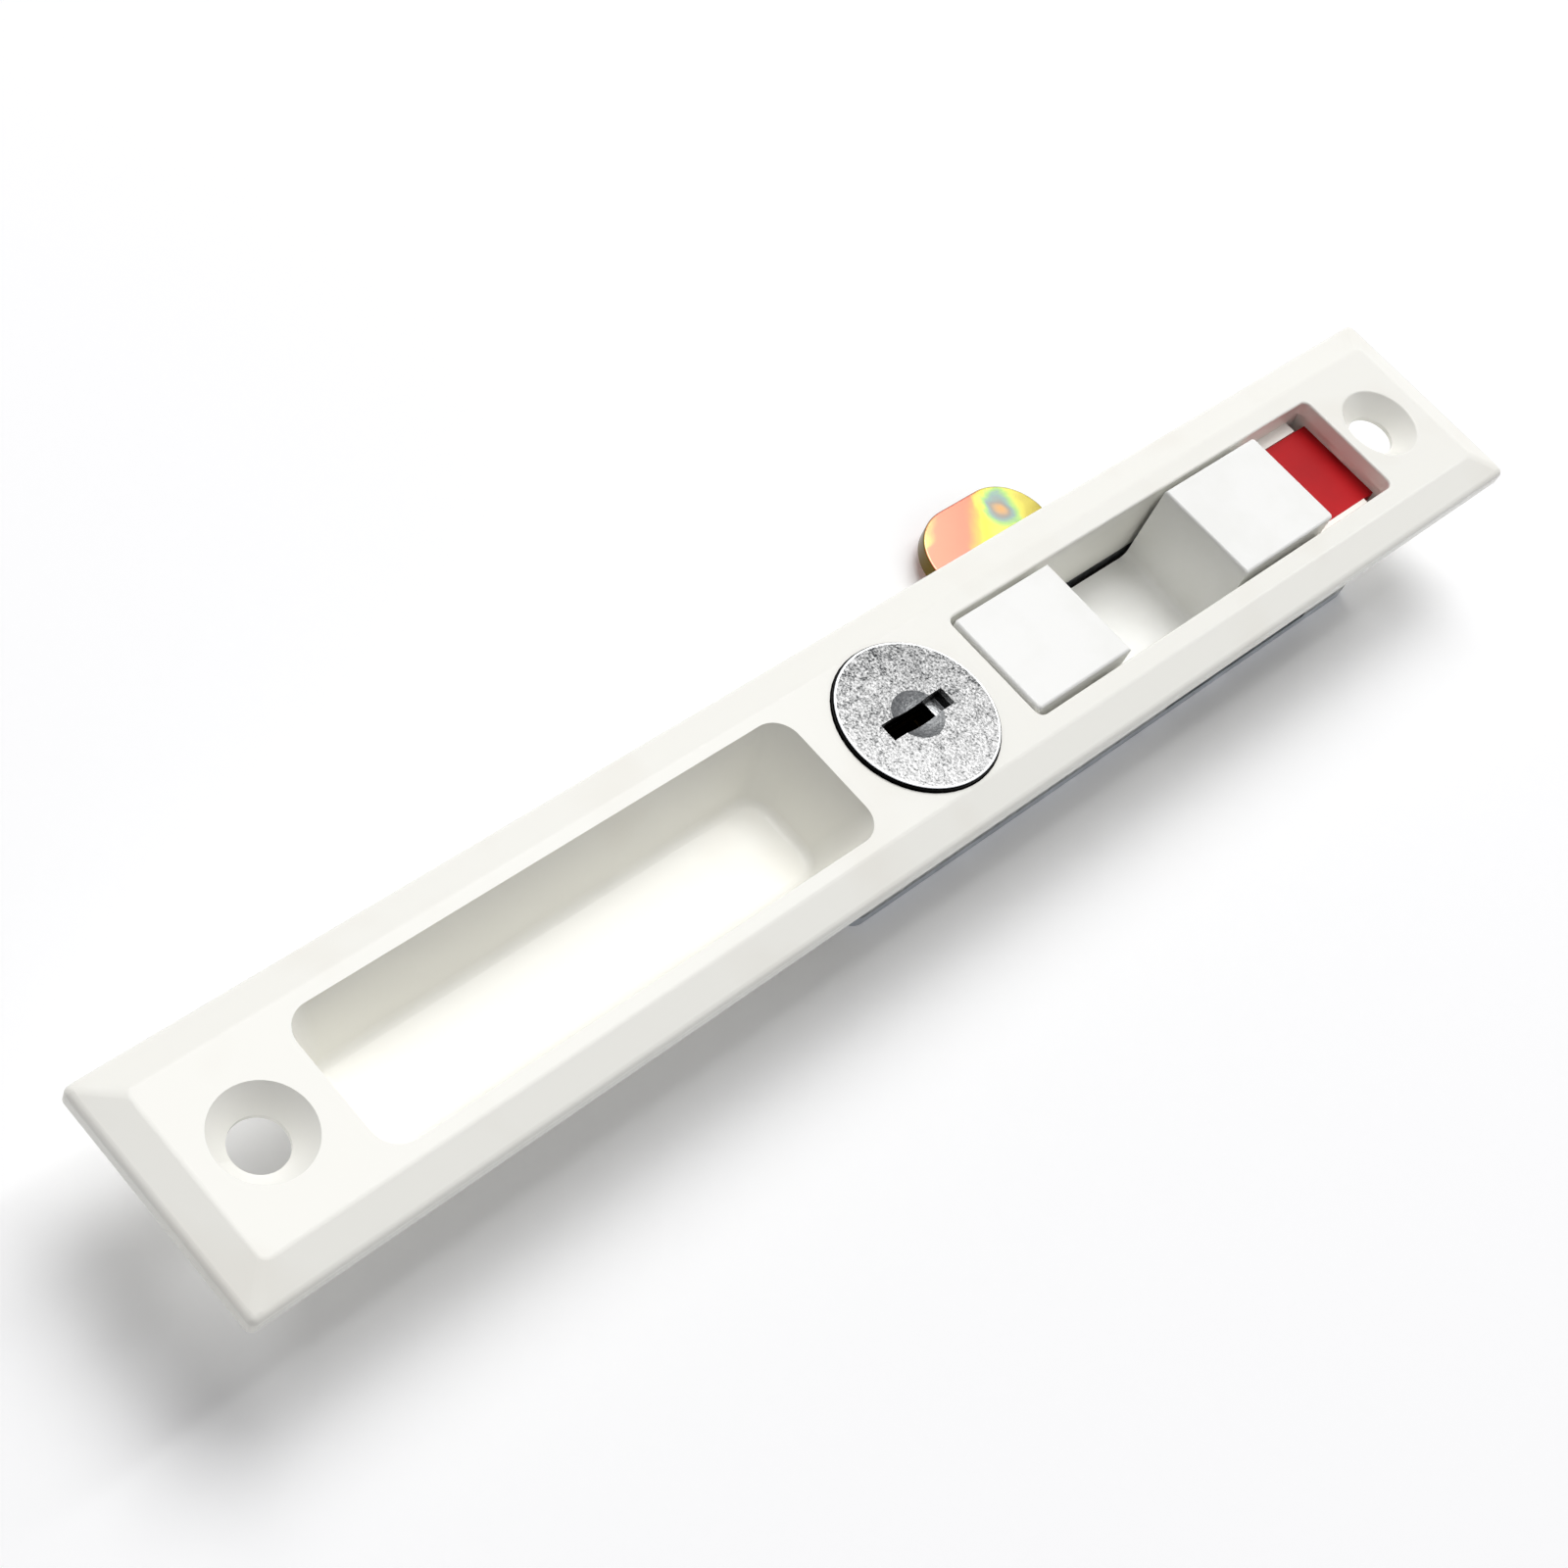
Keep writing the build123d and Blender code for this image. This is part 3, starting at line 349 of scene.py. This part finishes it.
castZinc = {
    "colours": ((0.36, "#242627"), (0.58, "#A2A2A1")),  # its dark and light grains
    "grain": 0.26,              # mm between the grains of the as-cast skin
    "pits": 0.416,              # mm between its pits
    "grainDepth": 0.05,         # mm
    "grainStrength": 0.6,
    "patch": 0.8,               # mm between its paler and darker patches
    "patchShare": 0.25,         # how much of the tone these decide
    "roughness": (0.30, 0.52),
    "paintedShadeSlope": (-0.002, -0.005, 0),  # painted light and shade: what each mm along X, Y and Z adds to the tone, so the near side is paler
    "dimpleShade": "#5E6061",        # the dimple, painted darker as the shade in that hollow
    "dimpleShadeShare": 0.75,        # how much of the dimple's tone that decides
    "dimpleRadius": 3.0,        # mm
    "paintedHighlight": "#DADCDC",      # painted highlights on the ring and the keyway's step
    "ring": 9.00,               # mm, outside this radius a thin ring is painted bright as a highlight
    "edge": 9.22,               # mm, and outside this one the disc's chamfer and side are painted black as shade
    "paintedShadeBlack": "#050505",          # painted shade: black in the dark gap round the disc and the depth of the keyway
    "keyway": (5.3, 2.86),      # mm, the keyway lies inside this radius and below this level
    "keywayStep": 1.6,          # mm, the level of its bright step
    "stepSlack": 0.03,          # mm, how near to that level the step's face lies
}


def sandyCastZinc():
    # die-cast zinc left as it came from the tool: bright metal with a sandy skin of dark and light grains.
    # It is painted paler on the near side as light and shade, black as shade in the gap round the disc and
    # in the keyway, darker as shade in the dimple, and bright as highlights on a thin ring and the keyway's
    # step
    c = castZinc
    material, tree, shader, place = newMaterial("sandyCastZinc", {"Metallic": 1.0})
    at = addNode(tree, "ShaderNodeSeparateXYZ", inputs={0: place}).outputs
    grain = addNode(tree, "ShaderNodeTexNoise",
                    inputs={"Vector": place, "Scale": 1 / c["grain"], "Detail": 4.0, "Roughness": 0.65})
    pits = addNode(tree, "ShaderNodeTexVoronoi", inputs={"Vector": place, "Scale": 1 / c["pits"]})
    patches = addNode(tree, "ShaderNodeTexNoise",
                      inputs={"Vector": place, "Scale": 1 / c["patch"], "Detail": 2.0})
    speckle = addNode(tree, "ShaderNodeMix", {"data_type": "FLOAT"},
                      {"Factor": c["patchShare"], "A": grain.outputs["Fac"], "B": patches.outputs["Fac"]})
    # painted light and shade: the tone slopes paler towards the near side
    paintedSlope = addNode(tree, "ShaderNodeVectorMath", {"operation": "DOT_PRODUCT"}, {0: place, 1: c["paintedShadeSlope"]})
    grainAndPaintedShade = addNode(tree, "ShaderNodeMath", {"operation": "ADD"},
                     {0: paintedSlope.outputs["Value"], 1: speckle.outputs["Result"]})
    tone = addNode(tree, "ShaderNodeValToRGB", inputs={"Fac": grainAndPaintedShade.outputs[0]}, stops=c["colours"])

    flat = addNode(tree, "ShaderNodeVectorMath", {"operation": "MULTIPLY"}, {0: place, 1: flatten})
    radius = addNode(tree, "ShaderNodeVectorMath", {"operation": "LENGTH"},
                     {0: flat.outputs[0]}).outputs["Value"]
    ring = addNode(tree, "ShaderNodeMath", {"operation": "GREATER_THAN"}, {0: radius, 1: c["ring"]})
    edge = addNode(tree, "ShaderNodeMath", {"operation": "GREATER_THAN"}, {0: radius, 1: c["edge"]})
    inside = addNode(tree, "ShaderNodeMath", {"operation": "LESS_THAN"}, {0: radius, 1: c["keyway"][0]})
    belowFace = addNode(tree, "ShaderNodeMath", {"operation": "LESS_THAN"}, {0: at["Z"], 1: c["keyway"][1]})
    keyway = addNode(tree, "ShaderNodeMath", {"operation": "MULTIPLY"},
                     {0: inside.outputs[0], 1: belowFace.outputs[0]})
    onStep = addNode(tree, "ShaderNodeMath", {"operation": "COMPARE"},
                     {0: at["Z"], 1: c["keywayStep"], 2: c["stepSlack"]})
    keyway = addNode(tree, "ShaderNodeMath", {"operation": "SUBTRACT", "use_clamp": True},
                     {0: keyway.outputs[0], 1: onStep.outputs[0]})
    # painted shade: black on the disc's chamfer and side and deep in the keyway
    paintedShadeMask = addNode(tree, "ShaderNodeMath", {"operation": "MAXIMUM"},
                    {0: edge.outputs[0], 1: keyway.outputs[0]})
    # painted shade: the dimple is painted darker
    dimple = addNode(tree, "ShaderNodeMath", {"operation": "LESS_THAN"}, {0: radius, 1: c["dimpleRadius"]})
    dimpleShade = addNode(tree, "ShaderNodeMath", {"operation": "MULTIPLY"},
                     {0: dimple.outputs[0], 1: c["dimpleShadeShare"]})
    # painted highlights: the thin ring and the keyway's step are painted bright
    paintedHighlight = addNode(tree, "ShaderNodeMath", {"operation": "MAXIMUM"},
                       {0: ring.outputs[0], 1: onStep.outputs[0]})

    colour = tone.outputs["Color"]
    for share, over in ((dimpleShade, c["dimpleShade"]), (paintedHighlight, c["paintedHighlight"]), (paintedShadeMask, c["paintedShadeBlack"])):
        colour = addNode(tree, "ShaderNodeMix", {"data_type": "RGBA"},
                         {0: share.outputs[0], 6: colour, 7: srgb(over)}).outputs[2]
    dull = addNode(tree, "ShaderNodeMapRange", inputs={
        "Value": grain.outputs["Fac"], "To Min": c["roughness"][0], "To Max": c["roughness"][1]})
    height = addNode(tree, "ShaderNodeMath", {"operation": "ADD"},
                     {0: grain.outputs["Fac"], 1: pits.outputs["Distance"]})
    bump = addNode(tree, "ShaderNodeBump", inputs={
        "Strength": c["grainStrength"], "Distance": c["grainDepth"] * mm, "Height": height.outputs[0]})
    feed(tree, shader, {"Base Color": colour, "Roughness": dull.outputs["Result"],
                        "Normal": bump.outputs["Normal"]})
    return material


dress(["cylinder_plug", "cylinder_shell"], sandyCastZinc())
print("cast zinc done")

# Hook

yellowPassivation = {
    "roughness": (0.23, 0.29),
    "fine": 0.25,               # mm between its finest spots
    "fineDepth": 0.01,          # mm
    "fineStrength": 0.05,
    "cloud": 5.0,               # mm between the thicker and the thinner places of the film
    "wander": 2.0,              # mm, how far the colours stray out of line there
    "run": (0.73, -0.69, 0),    # the way that they follow each other across the hook
    "from": 6.8,                # mm along it, where the first one is
    "to": 23.2,                 # mm along it, where the last one is
    "colours": ((0.0, "#C4B470"), (0.06, "#C69E6C"), (0.12, "#CC7C68"), (0.39, "#CE7865"),
                (0.48, "#CC9C58"), (0.55, "#C9BE4E"), (0.64, "#B8B860"), (0.78, "#B8AE5C"),
                (0.90, "#A89C4C"), (1.0, "#968A42")),
    "swirl": (44.2, 21.1, 0),   # mm, the middle of a spot where the bath dried last
    "swirlSize": 3.6,           # mm, its radius
    "swirlFull": 0.7,           # the share of that radius within which only its own colours show
    "swirlColours": ((0.0, "#BA8F59"), (0.22, "#A48A6C"), (0.38, "#847F78"), (0.52, "#7C8F89"),
                     (0.66, "#8FAD6C"), (0.84, "#C0BA58")),
    "edgeColour": "#5E4C18",
    "edgeTilt": (0.9, 0.5),     # how level a face lies where that colour starts and where it is full
}


def yellowPassivatedZinc():
    # chromate passivation on zinc plate: a thin film whose thickness wanders, so the metal turns like oil
    # on water from salmon pink through orange and yellow to olive. It has one spot ringed in grey and green,
    # and is dark olive on its sides, the faces that don't lie level
    c = yellowPassivation
    material, tree, shader, place = newMaterial("yellowPassivatedZinc", {"Metallic": 1.0})
    cloud = addNode(tree, "ShaderNodeTexNoise",
                    inputs={"Vector": place, "Scale": 1 / c["cloud"], "Detail": 3.0, "Distortion": 0.6})
    shift = addNode(tree, "ShaderNodeMapRange",
                    inputs={"Value": cloud.outputs["Fac"], "To Min": -c["wander"], "To Max": c["wander"]})
    along = addNode(tree, "ShaderNodeVectorMath", {"operation": "DOT_PRODUCT"}, {0: place, 1: c["run"]})
    moved = addNode(tree, "ShaderNodeMath", {"operation": "ADD"},
                    {0: along.outputs["Value"], 1: shift.outputs["Result"]})
    film = addNode(tree, "ShaderNodeMapRange",
                   inputs={"Value": moved.outputs[0], "From Min": c["from"], "From Max": c["to"]})
    tint = addNode(tree, "ShaderNodeValToRGB", inputs={"Fac": film.outputs["Result"]}, stops=c["colours"])

    flat = addNode(tree, "ShaderNodeVectorMath", {"operation": "MULTIPLY"}, {0: place, 1: flatten})
    away = addNode(tree, "ShaderNodeVectorMath", {"operation": "DISTANCE"},
                   {0: flat.outputs[0], 1: c["swirl"]})
    moved = addNode(tree, "ShaderNodeMath", {"operation": "ADD"},
                    {0: away.outputs["Value"], 1: shift.outputs["Result"]})
    ringed = addNode(tree, "ShaderNodeMapRange",
                     inputs={"Value": moved.outputs[0], "From Max": c["swirlSize"]}).outputs["Result"]
    rings = addNode(tree, "ShaderNodeValToRGB", inputs={"Fac": ringed}, stops=c["swirlColours"])
    inSwirl = addNode(tree, "ShaderNodeMapRange", {"interpolation_type": "SMOOTHSTEP"},
                      {"Value": ringed, "From Min": 1.0, "From Max": c["swirlFull"]})
    tint = addNode(tree, "ShaderNodeMix", {"data_type": "RGBA"},
                   {0: inSwirl.outputs["Result"], 6: tint.outputs["Color"], 7: rings.outputs["Color"]})

    normal = addNode(tree, "ShaderNodeTexCoord").outputs["Normal"]
    facing = addNode(tree, "ShaderNodeSeparateXYZ", inputs={0: normal}).outputs
    level = addNode(tree, "ShaderNodeMath", {"operation": "ABSOLUTE"}, {0: facing["Z"]})
    onEdge = addNode(tree, "ShaderNodeMapRange", inputs={
        "Value": level.outputs[0], "From Min": c["edgeTilt"][0], "From Max": c["edgeTilt"][1]})
    colour = addNode(tree, "ShaderNodeMix", {"data_type": "RGBA"},
                     {0: onEdge.outputs["Result"], 6: tint.outputs[2], 7: srgb(c["edgeColour"])})
    fine = addNode(tree, "ShaderNodeTexNoise",
                   inputs={"Vector": place, "Scale": 1 / c["fine"], "Detail": 2.0})
    dull = addNode(tree, "ShaderNodeMapRange", inputs={
        "Value": fine.outputs["Fac"], "To Min": c["roughness"][0], "To Max": c["roughness"][1]})
    bump = addNode(tree, "ShaderNodeBump", inputs={
        "Strength": c["fineStrength"], "Distance": c["fineDepth"] * mm, "Height": fine.outputs["Fac"]})
    feed(tree, shader, {"Base Color": colour.outputs[2], "Roughness": dull.outputs["Result"],
                        "Normal": bump.outputs["Normal"]})
    return material


dress(["hook"], yellowPassivatedZinc())
print("passivation done")

# Sheet, wire and turned metal

metals = {
    # by the record's slot, with blotch and lines in mm
    "plated_steel": {"name": "brightZincPlate", "colours": ((0.3, "#A9AEB4"), (0.7, "#CDD2D8")),
                     "roughness": (0.25, 0.43), "blotch": 5.0, "lines": 0.25},
    "spring_steel": {"name": "blueSpringSteel", "colours": ((0.3, "#4A5058"), (0.7, "#7C838C")),
                     "roughness": (0.20, 0.38), "blotch": 2.5, "lines": 0.12},
    # the wafers are painted dark brown as the shade deep in the keyway
    "wafer_brass": {"name": "keywayShadeBrass", "colours": ((0.3, "#4A3818"), (0.7, "#7A6030")),
                    "roughness": (0.34, 0.52), "blotch": 1.5, "lines": 0.10},
    "aluminium_rivet": {"name": "pressedAluminium", "colours": ((0.3, "#A3A5A7"), (0.7, "#D5D7D8")),
                        "roughness": (0.30, 0.48), "blotch": 0.8, "lines": 0.10},
}
# the slide plate, coloured near black
darkSlidePlate = {"name": "darkZincPlate", "colours": ((0.3, "#1E1D1A"), (0.7, "#3B3A35")),
           "roughness": (0.28, 0.46), "blotch": 6.0, "lines": 0.25}
drawnSkin = {
    "lineLength": 50,           # how many times as long as wide the lines are
    "lineDepth": 0.01,          # mm
    "lineStrength": 0.2,
}


def drawnMetal(c):
    # rolled, drawn or turned metal: soft cloudy blotches in the plating or oxide, and faint lines along its
    # length that make the gloss run
    material, tree, shader, place = newMaterial(c["name"], {"Metallic": 1.0})
    cloud = addNode(tree, "ShaderNodeTexNoise",
                    inputs={"Vector": place, "Scale": 1 / c["blotch"], "Detail": 4.0})
    tone = addNode(tree, "ShaderNodeValToRGB", inputs={"Fac": cloud.outputs["Fac"]}, stops=c["colours"])
    stretched = addNode(tree, "ShaderNodeMapping",
                        inputs={"Vector": place, "Scale": (1 / drawnSkin["lineLength"], 1.0, 1.0)})
    lines = addNode(tree, "ShaderNodeTexNoise",
                    inputs={"Vector": stretched.outputs["Vector"], "Scale": 1 / c["lines"], "Detail": 2.0})
    dull = addNode(tree, "ShaderNodeMapRange", inputs={
        "Value": lines.outputs["Fac"], "To Min": c["roughness"][0], "To Max": c["roughness"][1]})
    bump = addNode(tree, "ShaderNodeBump", inputs={
        "Strength": drawnSkin["lineStrength"], "Distance": drawnSkin["lineDepth"] * mm,
        "Height": lines.outputs["Fac"]})
    feed(tree, shader, {"Base Color": tone.outputs["Color"], "Roughness": dull.outputs["Result"],
                        "Normal": bump.outputs["Normal"]})
    return material


for slot, c in metals.items():
    c["material"] = drawnMetal(c)
    dress([entry["node"] for entry in frame["record"]["subparts"] if entry["material_slot"] == slot],
          c["material"])
dress(["slide_plate"], drawnMetal(darkSlidePlate))
print("metals done")

# Cover screws, with the cross recess that a driver needs

screws = {
    "headDiameter": 4.7,        # mm, as in the CAD
    "coreDiameter": 2.2,        # mm, as in the CAD
    "headLand": 0.15,           # mm of straight side above the cone
    "point": 0.8,               # mm of the tapered end
    "crossLength": 2.9,         # mm
    "crossWidth": 0.75,         # mm
    "crossDepth": 1.1,          # mm
    "lengthLeft": 0.45,         # how much of the recess's length is left at its bottom
    "widthLeft": 0.7,           # and of its width
    "sides": 64,                # round the head
    "sharpAngle": 35,           # degrees, edges that turn more than this stay crisp
    "turns": (12, 55, 80),      # degrees, how each one came to rest
}


def turnedMesh(name, profile, sides):
    # a solid turned about Z from (radius, height) points, whose first and last lie on the axis
    mesh = bmesh.new()
    rings = []
    for radius, height in profile:
        count = sides if radius else 1
        angles = [math.tau * i / count for i in range(count)]
        rings.append([mesh.verts.new((radius * math.cos(angle), radius * math.sin(angle), height))
                      for angle in angles])
    for lower, upper in zip(rings, rings[1:]):
        for i in range(sides):
            corners = [lower[i % len(lower)], lower[(i + 1) % len(lower)],
                       upper[(i + 1) % len(upper)], upper[i % len(upper)]]
            mesh.faces.new(list(dict.fromkeys(corners)))
    bmesh.ops.recalc_face_normals(mesh, faces=mesh.faces)
    data = bpy.data.meshes.new(name)
    mesh.to_mesh(data)
    return data


def crossCutter():
    # two tapered blades that cross on the axis
    c = screws
    mesh = bmesh.new()
    for angle in (0, math.pi / 2):
        blade = bmesh.ops.create_cube(mesh, size=1)["verts"]
        for vertex in blade:
            deep = vertex.co.z > 0
            vertex.co.x *= c["crossLength"] * (c["lengthLeft"] if deep else 1)
            vertex.co.y *= c["crossWidth"] * (c["widthLeft"] if deep else 1)
            vertex.co.z = c["crossDepth"] if deep else -c["crossDepth"]
        bmesh.ops.rotate(mesh, verts=blade, matrix=Matrix.Rotation(angle, 3, "Z"))
    data = bpy.data.meshes.new("crossCutter")
    mesh.to_mesh(data)
    return data


def crossScrews():
    # three countersunk screws in one piece, made in millimetres from the CAD's box and then scaled
    c = screws
    low, high = (Vector(corner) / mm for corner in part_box("cover_screws"))
    headRadius, coreRadius = c["headDiameter"] / 2, c["coreDiameter"] / 2
    length = high.z - low.z
    profile = ((0, 0), (headRadius, 0), (headRadius, c["headLand"]), (coreRadius, headRadius - coreRadius),
               (coreRadius, length - c["point"]), (0, length))
    screw = bpy.data.objects.new("oneScrew", turnedMesh("oneScrew", profile, c["sides"]))
    cutter = bpy.data.objects.new("crossCutter", crossCutter())
    scene.collection.objects.link(screw)
    scene.collection.objects.link(cutter)
    cut = screw.modifiers.new("cross", "BOOLEAN")
    cut.object, cut.use_self = cutter, True
    recessed = bpy.data.meshes.new_from_object(screw.evaluated_get(bpy.context.evaluated_depsgraph_get()))
    bpy.data.objects.remove(screw)
    bpy.data.objects.remove(cutter)
    places = ((high.x - headRadius, high.y - headRadius), (high.x - headRadius, low.y + headRadius),
              (low.x + headRadius, low.y + headRadius))
    whole = bmesh.new()
    for (x, y), degrees in zip(places, c["turns"]):
        one = recessed.copy()
        turned = Matrix.Rotation(math.radians(degrees), 4, "Z")
        one.transform(Matrix.Scale(mm, 4) @ Matrix.Translation((x, y, low.z)) @ turned)
        whole.from_mesh(one)
    data = bpy.data.meshes.new("crossScrews")
    whole.to_mesh(data)
    data.polygons.foreach_set("use_smooth", [True] * len(data.polygons))
    data.set_sharp_from_angle(angle=math.radians(c["sharpAngle"]))
    data.materials.append(metals["plated_steel"]["material"])
    piece = bpy.data.objects.new("crossScrews", data)
    scene.collection.objects.link(piece)
    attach(piece, "casing")
    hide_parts("cover_screws")


crossScrews()
print("screws done")
